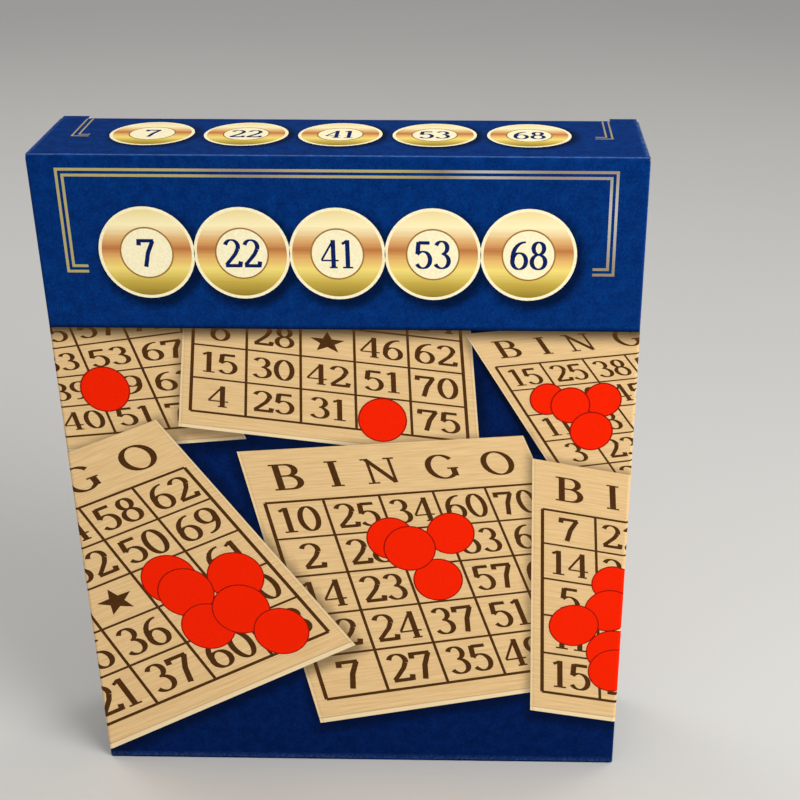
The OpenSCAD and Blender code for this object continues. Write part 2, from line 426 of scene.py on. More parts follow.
class Layer:
    """Flat shapes in a surface's own millimetres; a vertex's third value is its height above the surface."""

    def __init__(self):
        self.mesh = bmesh.new()
        self.uv = self.mesh.loops.layers.uv.new("print_uv")
        self.shade = self.mesh.verts.layers.float.new("shade")
        self.wear = self.mesh.verts.layers.float.new("wear")

    def face(self, points, height, uvs=None):
        corners = [self.mesh.verts.new((x, y, height)) for x, y in points]
        made = self.mesh.faces.new(corners)
        made.normal_update()
        for loop, value in zip(made.loops, uvs or points):
            loop[self.uv].uv = value

    def ribbon(self, one_side, other_side, height, closed=False):
        """A strip of quads between two lines of points."""
        rows = [[self.mesh.verts.new((x, y, height)) for x, y in side] for side in (one_side, other_side)]
        count = len(one_side)
        for i in range(count if closed else count - 1):
            j = (i + 1) % count
            self.mesh.faces.new((rows[0][i], rows[0][j], rows[1][j], rows[1][i]))

    def grid(self, columns, rows, height, mapped=None):
        """Quads over those column and row positions, mapped to the surface; the uv keeps the positions."""
        points = [[(x, y) for x in columns] for y in rows]
        verts = []
        for row in points:
            placed = [mapped(*p) if mapped else p for p in row]
            verts.append([self.mesh.verts.new((*p, height)) for p in placed])
        for j in range(len(rows) - 1):
            for i in range(len(columns) - 1):
                around = ((j, i), (j, i + 1), (j + 1, i + 1), (j + 1, i))
                made = self.mesh.faces.new([verts[a][b] for a, b in around])
                for loop, (a, b) in zip(made.loops, around):
                    loop[self.uv].uv = points[a][b]

    def slice(self, point, normal, keep_inside=True):
        """Cuts along a plane, and drops what lies beyond it if keep_inside is true."""
        parts = [*self.mesh.verts, *self.mesh.edges, *self.mesh.faces]
        bmesh.ops.bisect_plane(
            self.mesh, geom=parts, plane_co=point, plane_no=normal, clear_outer=keep_inside, dist=1e-5
        )

    def clip(self, x_low, x_high, y_low, y_high):
        """Keeps only what lies inside the rectangle."""
        self.slice((x_low, 0, 0), (-1, 0, 0))
        self.slice((x_high, 0, 0), (1, 0, 0))
        self.slice((0, y_low, 0), (0, -1, 0))
        self.slice((0, y_high, 0), (0, 1, 0))

    def bend_lines(self, positions, axis=0):
        """Extra cuts, so that the layer follows a bend."""
        normal = (1, 0, 0) if axis == 0 else (0, 1, 0)
        for p in positions:
            along = [v.co[axis] for v in self.mesh.verts]
            if any(c - p > 0.02 for c in along) and any(c < p for c in along):
                self.slice(tuple(p * n for n in normal), normal, keep_inside=False)

    def done(
        self,
        name,
        place,
        material,
        body="carton",
        slot="carton_print",
        thickness=FILM_T,
        shade=None,
        wear=None,
    ):
        """Thickens the shapes, puts them on the surface and makes the piece, or nothing if none is left."""
        if not self.mesh.faces:
            self.mesh.free()
            return None
        for v in self.mesh.verts:
            v[self.shade] = shade(v.co.x, v.co.y) if shade else 0.0
            v[self.wear] = wear(v.co.x, v.co.y) if wear else 0.0
        for made in self.mesh.faces:
            made.normal_update()
            if made.normal.z < 0:
                made.normal_flip()
        bmesh.ops.solidify(self.mesh, geom=list(self.mesh.faces), thickness=thickness)
        for v in self.mesh.verts:
            v.co = place(*v.co)
        bmesh.ops.recalc_face_normals(self.mesh, faces=list(self.mesh.faces))
        return piece(name, self.mesh, material, body)


def piece(name, mesh, material, body):
    """A mesh object with one of the materials, riding on a CAD body when one is given."""
    data = bpy.data.meshes.new(name)
    mesh.to_mesh(data)
    mesh.free()
    data.materials.append(MATERIAL[material])
    made = bpy.data.objects.new(name, data)
    bpy.context.scene.collection.objects.link(made)
    if body:
        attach(made, body)
    return made


def steps(low, high, size):
    """Evenly spaced positions from low to high, at most size apart."""
    count = max(1, math.ceil((high - low) / size))
    return [low + (high - low) * i / count for i in range(count + 1)]


def circle(cx, cy, r, count=48):
    """Points of a circle."""
    angles = [math.tau * i / count for i in range(count)]
    return [(cx + r * math.cos(a), cy + r * math.sin(a)) for a in angles]


def rounded(x_low, x_high, y_low, y_high, r, count):
    """Points of a rectangle with round corners, anticlockwise."""
    points = []
    left, right, low, high = x_low + r, x_high - r, y_low + r, y_high - r
    for quarter, (cx, cy) in enumerate(((right, low), (right, high), (left, high), (left, low))):
        for i in range(count + 1):
            a = math.radians(-90 + 90 * quarter + 90 * i / count)
            points.append((cx + r * math.cos(a), cy + r * math.sin(a)))
    return points


def disc(layer, cx, cy, r, height, count=48):
    """A filled circle whose uv runs from 0 to 1 across and up it."""
    points = circle(cx, cy, r, count)
    layer.face(points, height, [((x - cx) / (2 * r) + 0.5, (y - cy) / (2 * r) + 0.5) for x, y in points])


def ring(layer, cx, cy, r, width, height, count=48):
    layer.ribbon(circle(cx, cy, r, count), circle(cx, cy, r - width, count), height, closed=True)


def bar(layer, a, b, width, height):
    """A straight line of that width from a to b."""
    direction = (Vector(b) - Vector(a)).normalized()
    side = Vector((-direction.y, direction.x)) * width / 2
    edges = [[tuple(Vector(end) + offset) for end in (a, b)] for offset in (side, -side)]
    layer.ribbon(*edges, height)


def projective(low_left, low_right, high_right, high_left, size=5.0):
    """Maps a size by size square to the four corners, in perspective."""
    (x0, y0), (x1, y1), (x2, y2), (x3, y3) = low_left, low_right, high_right, high_left
    ax, ay, bx, by = x1 - x2, y1 - y2, x3 - x2, y3 - y2
    sx, sy = x0 - x1 + x2 - x3, y0 - y1 + y2 - y3
    det = ax * by - ay * bx
    g = (sx * by - sy * bx) / det
    h = (ax * sy - ay * sx) / det

    def mapped(u, v):
        a, b = u / size, v / size
        w = g * a + h * b + 1
        x = (x1 - x0 + g * x1) * a + (x3 - x0 + h * x3) * b + x0
        y = (y1 - y0 + g * y1) * a + (y3 - y0 + h * y3) * b + y0
        return x / w, y / w

    return mapped


# ---------------------------------------------------------------- serif numerals and letters, as pen strokes

THICK = 0.15
THIN = 0.058


def arc(cx, cy, rx, ry, start, end):
    """Points along an ellipse between two angles in degrees."""
    count = max(6, round(abs(end - start) / 14))
    angles = [math.radians(start + (end - start) * i / count) for i in range(count + 1)]
    return [(cx + rx * math.cos(a), cy + ry * math.sin(a)) for a in angles]


SERIF = 0.055


def stem(x, low=0.0, high=1.0):
    """A thick upright with flat serifs at both ends."""
    return [
        [(x, low), (x, high)],
        [(x - 0.15, low + SERIF / 2), (x + 0.15, low + SERIF / 2)],
        [(x - 0.15, high - SERIF / 2), (x + 0.15, high - SERIF / 2)],
    ]


def spun(strokes, width):
    """The same strokes turned half a turn."""
    return [[(width - x, 1 - y) for x, y in s] for s in strokes]


SIX = [arc(0.52, 0.42, 0.42, 0.55, 88, 190), arc(0.32, 0.30, 0.23, 0.285, 0, 360)]
GLYPH = {
    "0": (0.62, [arc(0.31, 0.5, 0.235, 0.475, 0, 360)]),
    "1": (0.46, [[(0.24, 0), (0.24, 1)], [(0.24, 0.97), (0.06, 0.86)], [(0.07, 0.028), (0.41, 0.028)]]),
    "2": (
        0.6,
        [
            arc(0.29, 0.74, 0.215, 0.235, 165, -20),
            [(0.485, 0.66), (0.40, 0.48), (0.22, 0.26), (0.07, 0.09)],
            [(0.05, 0.065), (0.55, 0.065)],
            [(0.53, 0.02), (0.57, 0.22)],
        ],
    ),
    "3": (0.58, [arc(0.27, 0.755, 0.19, 0.22, 160, -90), arc(0.27, 0.28, 0.235, 0.255, 90, -155)]),
    "4": (
        0.62,
        [
            [(0.43, 0.98), (0.03, 0.29)],
            [(0.02, 0.275), (0.6, 0.275)],
            [(0.43, 0), (0.43, 1)],
            [(0.3, 0.028), (0.56, 0.028)],
        ],
    ),
    "5": (
        0.58,
        [
            [(0.13, 0.92), (0.50, 0.92)],
            [(0.13, 0.95), (0.09, 0.52)],
            arc(0.27, 0.32, 0.24, 0.295, 140, -150),
        ],
    ),
    "6": (0.62, SIX),
    "7": (
        0.58,
        [
            [(0.05, 0.925), (0.55, 0.925)],
            [(0.06, 0.98), (0.04, 0.76)],
            [(0.52, 0.92), (0.33, 0.5), (0.22, 0.0)],
        ],
    ),
    "8": (0.6, [arc(0.3, 0.75, 0.175, 0.215, 0, 360), arc(0.3, 0.27, 0.225, 0.255, 0, 360)]),
    "9": (0.62, spun(SIX, 0.62)),
    "B": (
        0.74,
        [
            [(0.2, 0), (0.2, 1)],
            [(0.05, 0.97), (0.42, 0.97)],
            [(0.05, 0.03), (0.44, 0.03)],
            [(0.2, 0.53), (0.42, 0.53)],
            arc(0.40, 0.75, 0.20, 0.22, 90, -90),
            arc(0.42, 0.28, 0.235, 0.25, 90, -90),
        ],
    ),
    "I": (0.42, stem(0.21)),
    "N": (
        0.86,
        [
            [(0.18, 0), (0.18, 1)],
            [(0.15, 0.99), (0.70, 0.01)],
            [(0.70, 0), (0.70, 1)],
            [(0.05, 0.028), (0.32, 0.028)],
            [(0.03, 0.972), (0.2, 0.972)],
            [(0.57, 0.972), (0.83, 0.972)],
        ],
    ),
    "G": (
        0.82,
        [arc(0.42, 0.5, 0.33, 0.47, 38, 318), [(0.68, 0.1), (0.68, 0.42)], [(0.53, 0.42), (0.8, 0.42)]],
    ),
    "O": (0.82, [arc(0.41, 0.5, 0.34, 0.47, 0, 360)]),
}
THIN_UPRIGHTS = {("N", 0), ("N", 2)}
HEAVY = {("N", 1), ("2", 2), ("7", 0), ("5", 0)}


def stroke_width(glyph, index, dx, dy):
    """A broad pen: thick going down, thin going across, with a few strokes the other way round."""
    if (glyph, index) in THIN_UPRIGHTS:
        return THIN * 1.25
    if (glyph, index) in HEAVY:
        return THICK * 0.8
    if glyph == "4" and index == 0:
        return THIN * 1.2
    length = math.hypot(dx, dy) or 1.0
    return THIN + (THICK - THIN) * (abs(dy) / length) ** 1.4


def glyph(layer, character, left, base, height, squeeze, height_above, mapped):
    """Draws one numeral or letter with its lower left corner at (left, base)."""
    width, strokes = GLYPH[character]
    for index, stroke in enumerate(strokes):
        closed = len(stroke) > 6 and math.dist(stroke[0], stroke[-1]) < 1e-6
        points = stroke[:-1] if closed else stroke
        sides = ([], [])
        for i, (x, y) in enumerate(points):
            before = points[i - 1] if (i or closed) else (x, y)
            after = points[(i + 1) % len(points)] if (closed or i + 1 < len(points)) else (x, y)
            dx, dy = after[0] - before[0], after[1] - before[1]
            length = math.hypot(dx, dy) or 1.0
            half = stroke_width(character, index, dx, dy) / 2
            for side, sign in zip(sides, (1, -1)):
                px = x - sign * dy / length * half
                py = y + sign * dx / length * half
                side.append(mapped(left + px * height * squeeze, base + py * height))
        layer.ribbon(sides[0], sides[1], height_above + index * 0.0006, closed=closed)
    return width * height * squeeze


def write(layer, text, cx, cy, height, squeeze, height_above, mapped):
    """Draws a number or letter centred on (cx, cy)."""
    gap = 0.05 * height * squeeze
    total = sum(GLYPH[c][0] * height * squeeze for c in text) + gap * (len(text) - 1)
    x = cx - total / 2
    for c in text:
        x += glyph(layer, c, x, cy - height / 2, height, squeeze, height_above, mapped) + gap


def star(layer, cx, cy, r, height_above, mapped, squeeze=1.0):
    """A plain five-pointed star, as five kites."""
    for i in range(5):
        a = math.tau * i / 5 + math.pi / 2
        kite = [(cx, cy)]
        for angle, reach in ((a - math.pi / 5, r * 0.42), (a, r), (a + math.pi / 5, r * 0.42)):
            kite.append((cx + reach * math.cos(angle) * squeeze, cy + reach * math.sin(angle)))
        layer.face([mapped(*p) for p in kite], height_above + 0.0004 * i)


# ---------------------------------------------------------------- bingo cards: grid, numbers and chips

CELLS = 5
LETTERS = "BINGO"
CARD_EDGES = (-0.2, 5.2, -0.5, 6.5)
HEAD_U = (0.5, 1.35, 2.2, 3.35, 4.45)
HEAD_V = 5.7
CELL_LINE = 0.05


def card_lines(layer, height_above, mapped):
    """The five by five grid, a little heavier round the outside."""
    for k in range(CELLS + 1):
        width = CELL_LINE * (1.25 if k in (0, CELLS) else 1.0)
        along = steps(0, CELLS, 0.5)
        for across in (False, True):
            sides = []
            for offset in (width / 2, -width / 2):
                line = [(t, k + offset) if across else (k + offset, t) for t in along]
                sides.append([mapped(*p) for p in line])
            layer.ribbon(sides[0], sides[1], height_above + (0.0007 if across else 0.0))


def card_numbers(layer, rows, height_above, mapped, squeeze=0.84, size=0.70):
    """rows run from the top down; "*" is the free square's star, and "" leaves a square empty."""
    for row, numbers in enumerate(rows):
        for column, text in enumerate(numbers):
            centre = (column + 0.5, CELLS - row - 0.5)
            if text == "*":
                star(layer, *centre, 0.34, height_above + 0.001, mapped, squeeze)
            elif text:
                write(layer, text, *centre, size, squeeze, height_above + 0.0014, mapped)


def card_head(layer, height_above, mapped, squeeze=1.05):
    """The five column letters above the grid."""
    for u, letter in zip(HEAD_U, LETTERS):
        write(layer, letter, u, HEAD_V, 0.74, squeeze, height_above + 0.0014, mapped)


def chip(layer, outlines, cx, cy, r, height_above):
    """A drawn marker chip with a fine dark outline."""
    disc(layer, cx, cy, r, height_above)
    ring(outlines, cx, cy, r + 0.12, 0.45, height_above + 0.006)


# ---------------------------------------------------------------- the front's picture, in mm on the front

CORNER_STEPS = 6
CORNER_STEP = math.pi / 2 * CORNER_R / CORNER_STEPS
X_LIMIT = HALF_W - CORNER_R + 5 * CORNER_STEP
WRAP_LINES = [s * (HALF_W - CORNER_R + k * CORNER_STEP) for s in (-1, 1) for k in range(5)]


class DrawnCard:
    """One card of the front's picture: the grid's corners on the face, from low left anticlockwise; the rows
    of numbers; the height in the pile; and the chips as (x, y, radius)."""

    def __init__(self, name, corners, rows, level, chips, size=0.68, squeeze=0.92):
        self.name = name
        self.mapped = projective(*corners)
        self.rows = [["" if text == "-" else text for text in row.split()] for row in rows]
        self.level = level
        self.chips = chips
        self.size = size
        self.squeeze = squeeze
        left, right, low, high = CARD_EDGES
        around = ((left, low), (right, low), (right, high), (left, high))
        self.outline = [self.mapped(u, v) for u, v in around]


LEVEL_FAR, LEVEL_LOW, LEVEL_NEXT, LEVEL_MID, LEVEL_TOP = 0.03, 0.052, 0.074, 0.096, 0.118
CHIP_LEVEL = 0.142
CHIP_STEP = 0.012
INK_T = 0.005
DARK_EDGE = ((43.4, 170.2), (57.2, 146.5), (61.4, 136.6), (63.5, 134.4), (70, 134.4), (47.8, 170.2))
FRONT_CARDS = [
    DrawnCard(
        "top_left",
        ((-130, 136), (-41, 145), (-60, 199), (-139, 185)),
        ("- - - - -", "8 24 45 57 72", "2 19 33 53 67", "11 26 39 59 62", "5 17 40 51 74"),
        LEVEL_FAR,
        ((-81, 157.6, 8.3),),
        0.6,
        1.06,
    ),
    DrawnCard(
        "top_middle",
        ((-53, 150), (41, 139), (37, 198), (-46, 207)),
        ("- - - - -", "9 22 38 55 64", "6 28 * 46 62", "15 30 42 51 70", "4 25 31 - 75"),
        LEVEL_LOW,
        ((12, 147, 8.2),),
        0.62,
        1.0,
    ),
    DrawnCard(
        "top_right",
        ((80, 118), (158, 130), (119, 175), (50, 167)),
        ("15 25 38 57 64", "9 20 45 52 61", "11 18 * 50 72", "3 23 35 48 66", "8 29 44 53 69"),
        LEVEL_NEXT,
        ((67.4, 155.4, 5.8), (86, 155.4, 6.2), (75.2, 153.2, 6.6), (82.6, 143.6, 7.2)),
    ),
    DrawnCard(
        "centre",
        ((-12, 29), (95, 49), (64, 123), (-30, 114)),
        ("10 25 34 60 70", "2 28 - 53 61", "14 23 - 57 66", "12 24 37 51 73", "7 27 35 49 64"),
        LEVEL_MID,
        ((13.7, 100.3, 8.5), (34.9, 102.6, 8.4), (30.4, 83.2, 8.8), (20.4, 96.2, 9.2)),
    ),
    DrawnCard(
        "left",
        ((-125, 1), (-10, 60), (-57, 128), (-159, 84)),
        ("1 20 34 58 62", "6 17 32 50 69", "10 29 * 54 61", "3 26 36 47 70", "8 21 37 60 73"),
        LEVEL_TOP,
        (
            (-66.5, 82, 10.3),
            (-42.5, 83.5, 10.3),
            (-61, 76.5, 10.3),
            (-54, 61.8, 10.0),
            (-41.5, 69.5, 10.6),
            (-27.3, 60, 10.2),
        ),
    ),
    DrawnCard(
        "right",
        ((69, 34), (176, 17), (158, 97), (67, 113)),
        ("7 22 38 52 71", "14 28 43 59 65", "5 19 * 47 68", "11 30 36 54 74", "15 26 40 49 63"),
        LEVEL_TOP,
        ((92.6, 82.4, 7.2), (92.2, 70.6, 8.9), (79.7, 64, 9.0), (94, 52.6, 9.3), (95.3, 44, 9.5)),
    ),
]

BALLS = ((-62, "7"), (-31.5, "22"), (-1, "41"), (29.5, "53"), (60, "68"))
BALL_Y = 206
BALL_R = 14.4
RIM = 1.0
FRONT_BALLS = [(bx, BALL_Y, BALL_R) for bx, _ in BALLS]
TITLE_LEVEL = 0.03
BRACKET_LEVEL = 0.028
FOOT_Z = 1.0


def inside_by(polygon, x, y):
    """How far a point is inside a convex outline, negative outside it."""
    count = len(polygon)
    closest = 1e9
    for i in range(count):
        (x0, y0), (x1, y1) = polygon[i], polygon[(i + 1) % count]
        length = math.hypot(x1 - x0, y1 - y0)
        closest = min(closest, ((x1 - x0) * (y - y0) - (y1 - y0) * (x - x0)) / length)
    return closest


def soft_edge(distance, softness):
    """1 inside, falling to 0 at softness outside."""
    t = min(1.0, max(0.0, 1 + distance / softness))
    return t * t * (3 - 2 * t)


SHADOW_SHIFT = (0.8, -1.6)
SHADOW_SOFT = 5.0
CARD_SHADOW = 0.62
BAND_SHADOW = 6.0


def ball_shade(x, y, balls, shift=(1.2, -1.8), softness=3.0):
    """Printed drop shadow of balls given as (x, y, radius), down and to the right."""
    cast = []
    for bx, by, r in balls:
        cast.append(0.75 * soft_edge(r + RIM - math.hypot(x - bx - shift[0], y - by - shift[1]), softness))
    return max(cast)


def front_shade(level):
    """Printed shadow on a layer: under the title band, beside the cards above it, and behind the balls."""
    above = [c for c in FRONT_CARDS if c.level > level]

    def shade(x, y):
        if y > BAND_Z:
            return ball_shade(x, y, FRONT_BALLS) if level == 0 else 0.0
        dark = 0.88 * soft_edge(y - BAND_Z, BAND_SHADOW)
        for card in above:
            edge = inside_by(card.outline, x - SHADOW_SHIFT[0], y - SHADOW_SHIFT[1])
            dark = max(dark, CARD_SHADOW * soft_edge(edge, SHADOW_SOFT))
        return dark

    return shade


def edge_wear(x_half, y_low, y_high, width=0.9, foot=0.3):
    """Rubbed print along the edges of a panel, less of it along the foot."""

    def wear(x, y):
        rubbed = max(0.0, 1 - min(x_half - abs(x), y_high - y) / width)
        at_foot = foot * max(0.0, 1 - (y - y_low) / width)
        return max(rubbed, at_foot)

    return wear


def numbered_ball(layers, bx, by, r, text, base_level):
    """A gold ball with a cream rim, and its number on a cream disc."""
    disc(layers["cream"], bx, by, r + RIM, base_level)
    disc(layers["gold"], bx, by, r, base_level + 0.015, count=64)
    ring(layers["ring"], bx, by, r * 0.60, r * 0.035, base_level + 0.03)
    disc(layers["cream"], bx, by, r * 0.565, base_level + 0.03)
    write(layers["navy_ink"], text, bx, by, r * 0.66, 1.0, base_level + 0.045, lambda x, y: (x, y))


def bracket(layer, half_w, y_top, y_foot, hook, base_level, gap=1.85, width=0.9, centre_x=0.0):
    """Two fine lines round the title: across the top, down both sides and hooked in at the feet."""
    for inset in (0.0, gap):
        for side in (-1, 1):
            x = centre_x + side * (half_w - inset)
            foot = y_foot + inset
            bar(layer, (x, y_top - inset), (x, foot - width / 2), width, base_level)
            hook_ends = (x + side * width / 2, foot), (x - side * (hook - inset), foot)
            bar(layer, *hook_ends, width, base_level + 0.002)
        reach = half_w - inset + width / 2
        top_ends = [(centre_x + side * reach, y_top - inset) for side in (-1, 1)]
        bar(layer, *top_ends, width, base_level + 0.004)


def picture_layers():
    """One empty layer for each print; the ones that stay empty make no piece."""
    names = ("card", "ink", "chip", "chip_edge", "cream", "gold", "bracket", "ring", "navy_ink")
    return {name: Layer() for name in names}


def finish_layers(layers, prefix, place, body="carton", slot="carton_print"):
    """Places every layer of a picture; each becomes one piece named after its ink."""
    for name, layer in layers.items():
        layer.done(f"{prefix}_{name}", place, name, body, slot)


def front_picture():
    """The title band and the pile of drawn cards."""
    place = wall_place(0)
    film = Layer()
    xs = steps(-X_LIMIT, X_LIMIT, 2.4)
    ys = steps(FOOT_Z, BAND_Z, 2.4) + steps(BAND_Z, WALL_TOP, 1.5)[1:]
    film.grid(xs, ys, FILM_T)
    film.bend_lines(WRAP_LINES)
    wear = edge_wear(X_LIMIT, FOOT_Z, WALL_TOP + 3, 0.6)
    film.done("front_film", place, "blue", shade=front_shade(0), wear=wear)

    layers = picture_layers()
    for bx, text in BALLS:
        numbered_ball(layers, bx, BALL_Y, BALL_R, text, TITLE_LEVEL)
    bracket(layers["bracket"], 87.5, 233.2, 199.6, 6.6, BRACKET_LEVEL, centre_x=-0.4)
    finish_layers(layers, "front_title", place)

    limits = (-X_LIMIT, X_LIMIT, FOOT_Z + 1.2, BAND_Z)
    dark_edge = Layer()
    dark_edge.face(DARK_EDGE, LEVEL_LOW + 0.012)
    dark_edge.done("front_dark_edge", place, "blue", thickness=INK_T, shade=lambda x, y: 0.82)
    chips, outlines = Layer(), Layer()
    left, right, bottom, top = CARD_EDGES
    for card in FRONT_CARDS:
        face, print_ink = Layer(), Layer()
        edges_u = [left, -0.11] + steps(0, CELLS, 0.125) + [5.11, right]
        edges_v = [bottom, -0.4, -0.2] + steps(0, top, 0.125)
        face.grid(edges_u, edges_v, card.level, card.mapped)
        card_lines(print_ink, card.level + 0.01, card.mapped)
        card_numbers(print_ink, card.rows, card.level + 0.01, card.mapped, card.squeeze, card.size)
        card_head(print_ink, card.level + 0.01, card.mapped, card.squeeze * 1.15)
        for layer in (face, print_ink):
            layer.clip(*limits)
            layer.bend_lines(WRAP_LINES)
        face.done(f"front_card_{card.name}", place, "card", shade=front_shade(card.level))
        print_ink.done(f"front_ink_{card.name}", place, "ink", thickness=0.006)
        for k, (cx, cy, r) in enumerate(card.chips):
            chip(chips, outlines, cx, cy, r, CHIP_LEVEL + CHIP_STEP * k)
    for layer, name in ((chips, "chip"), (outlines, "chip_edge")):
        layer.clip(*limits)
        layer.bend_lines(WRAP_LINES)
        layer.done(f"front_{name}s", place, name, thickness=INK_T)


# ---------------------------------------------------------------- carton: walls, base and top panel

WALL_HALF = WALL_TOP / 2
BACK_DROP = 0.35


def carton_shell():
    """The four walls and the base as one folded carton with rounded folds; the back's rim is a hair lower."""
    mesh = bmesh.new()
    rings = []
    for i in range(5):
        a = math.radians(90 * i / 4)
        rings.append((BOARD * (1 - math.sin(a)), BOARD * (1 - math.cos(a))))
    rings += [(0.0, WALL_TOP - 0.12), (0.12, WALL_TOP), (BOARD - 0.05, WALL_TOP)]
    rings += [(BOARD, WALL_TOP - 0.08), (BOARD, BOARD)]
    levels = []
    for inset, z in rings:
        drop = BACK_DROP if z > WALL_HALF else 0.0
        half_x, half_y, r = HALF_W - inset, HALF_D - inset, max(CORNER_R - inset, 0.35)
        plan = rounded(-half_x, half_x, -half_y, half_y, r, CORNER_STEPS)
        level = [(x, y, z - (drop if y > HALF_D - CORNER_R else 0.0)) for x, y in plan]
        levels.append([mesh.verts.new(Vector(p) * MM) for p in level])
    for lower, upper in zip(levels, levels[1:]):
        for i in range(len(lower)):
            j = (i + 1) % len(lower)
            mesh.faces.new((lower[i], lower[j], upper[j], upper[i]))
    mesh.faces.new(reversed(levels[0]))
    mesh.faces.new(levels[-1])
    bmesh.ops.recalc_face_normals(mesh, faces=list(mesh.faces))
    shell = piece("carton_shell", mesh, "blue", "carton")
    shell.data.materials.append(MATERIAL["board"])
    for polygon in shell.data.polygons:
        centre = polygon.center / MM
        inner = abs(centre.x) < HALF_W - 0.3 and abs(centre.y) < HALF_D - 0.3 and centre.z > 0.3
        rim = centre.z > WALL_TOP - 0.1 and centre.y > CORNER_R - HALF_D
        polygon.material_index = 1 if inner or rim else 0
    walls = ("front_panel", "back_panel", "left_side_panel", "right_side_panel")
    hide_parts(*walls, "bottom_outer_panel")


LID_FRONT = -HALF_D + 1.3
FOLD_R = 0.7
BEND_END = FOLD_Y + TUCK_FOLD_R * (math.pi / 2 + LEAN)
EAR_R = 1.5
BEND_STEPS = 14
BEND_LINES = [FOLD_Y + (BEND_END - FOLD_Y) * i / BEND_STEPS for i in range(BEND_STEPS + 1)]


def lid_outline():
    """Outline of the top panel's board, unrolled: two flat ears, and the fold between them."""
    half, rear = LID_HALF_W, LID_HIGH.y
    ear_in = FOLD_HALF_W + SLIT_W / 2
    fold_out = FOLD_HALF_W - SLIT_W / 2
    right = [(half, LID_FRONT)]
    for i in range(5):
        a = math.radians(90 * i / 4)
        right.append((half - EAR_R + EAR_R * math.cos(a), rear - EAR_R + EAR_R * math.sin(a)))
    right += [(ear_in, rear), (ear_in, FOLD_Y), (fold_out, FOLD_Y), (fold_out, BEND_END)]
    return right + [(-x, y) for x, y in reversed(right)]


def top_panel():
    """The top panel rolls over its rear fold between two flat ears."""
    board = Layer()
    board.face(lid_outline(), 0.0)
    bmesh.ops.triangulate(board.mesh, faces=list(board.mesh.faces))
    board.bend_lines(BEND_LINES[:-1], axis=1)
    lid = board.done("top_board", lid_place, "board", "lid", thickness=BOARD)
    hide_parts("top_panel")


TOP_BALL_Y = 1.5
TOP_BALL_R = 12.6
TOP_BALLS = [(bx, TOP_BALL_Y, TOP_BALL_R) for bx, _ in BALLS]
TOP_FOOT_Y = -2.0
TOP_LINE_END = 19.0
TOP_LINE_W = 0.6


def top_picture():
    """The title band again, squeezed to the top panel's depth and carried over its rear fold."""
    film = Layer()
    flat_rear = LID_HIGH.y - 0.1
    inner = FOLD_HALF_W - SLIT_W / 2 - 0.05
    film.grid(steps(-inner, inner, 1.6), steps(LID_FRONT, FOLD_Y, 1.6) + BEND_LINES[1:], FILM_T)
    ear_in = FOLD_HALF_W + SLIT_W / 2 + 0.05
    for side in (-1, 1):
        ends = sorted((side * inner, side * (LID_HALF_W - 0.05)))
        film.grid(steps(*ends, 1.6), steps(LID_FRONT, FOLD_Y, 1.6), FILM_T)
        ends = sorted((side * ear_in, side * (LID_HALF_W - 0.3)))
        film.grid(steps(*ends, 1.6), steps(FOLD_Y, flat_rear, 1.1), FILM_T)

    def shade(x, y):
        return ball_shade(x, y, TOP_BALLS, (1.0, -1.2), 2.5)

    wear = edge_wear(LID_HALF_W, LID_FRONT - 2, flat_rear + 3, 0.6)
    film.done("top_film", lid_place, "blue", "lid", shade=shade, wear=wear)

    layers = picture_layers()
    for bx, text in BALLS:
        numbered_ball(layers, bx, TOP_BALL_Y, TOP_BALL_R, text, TITLE_LEVEL)
    for inset in (0.0, 1.9):
        for side in (-1, 1):
            x = side * (87.0 - inset) - 0.4
            foot_y = TOP_FOOT_Y + inset
            bar(layers["bracket"], (x, foot_y), (x, TOP_LINE_END), TOP_LINE_W, BRACKET_LEVEL)
            foot_ends = (x + side * TOP_LINE_W / 2, foot_y), (x - side * (5.5 - inset), foot_y)
            bar(layers["bracket"], *foot_ends, TOP_LINE_W, 0.034)
    finish_layers(layers, "top_title", lid_place, "lid")


# Points on each fold's crest that are painted paler: cracked coating, and a painted highlight on the crease.
CREST_WEAR_AND_HIGHLIGHT_POINTS = (4, 5, 6)


def fold_strip(name, outer, inner, reach, across):
    """A bent strip of board over a fold. across is the axis that it runs along."""
    mesh = bmesh.new()
    wear = mesh.verts.layers.float.new("wear")
    profile = outer + inner[::-1]
    ends = []
    for side in (-reach, reach):
        points = [(side, u, v) if across == "X" else (u, side, v) for u, v in profile]
        row = [mesh.verts.new(Vector(p) * MM) for p in points]
        for i, vert in enumerate(row):
            # The crest's wear value also carries the fold's painted highlight.
            vert[wear] = 1.0 if i in CREST_WEAR_AND_HIGHLIGHT_POINTS else 0.0
        ends.append(row)
    for i in range(len(profile)):
        j = (i + 1) % len(profile)
        mesh.faces.new((ends[0][i], ends[0][j], ends[1][j], ends[1][i]))
    for row in ends:
        mesh.faces.new(row)
    bmesh.ops.recalc_face_normals(mesh, faces=list(mesh.faces))
    strip = piece(name, mesh, "fold", None)
    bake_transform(strip)


def bent(corner_u, corner_v, r, thickness, into, leg_v, leg_u):
    """Outer and inner lines of a right-angle fold with an outer radius r; into is +1 or -1 along u."""
    cu, cv = corner_u + into * r, corner_v - r
    lines = []
    for depth in (0.0, thickness):
        radius = max(r - depth, 0.15)
        cu_d, cv_d = (cu, cv) if r > depth else (corner_u + into * (depth + 0.15), corner_v - depth - 0.15)
        points = [(corner_u + into * depth, leg_v)]
        for i in range(7):
            a = math.radians(90 * i / 6)
            points.append((cu_d - into * radius * math.cos(a), cv_d + radius * math.sin(a)))
        points.append((leg_u, corner_v - depth))
        lines.append(points)
    return lines


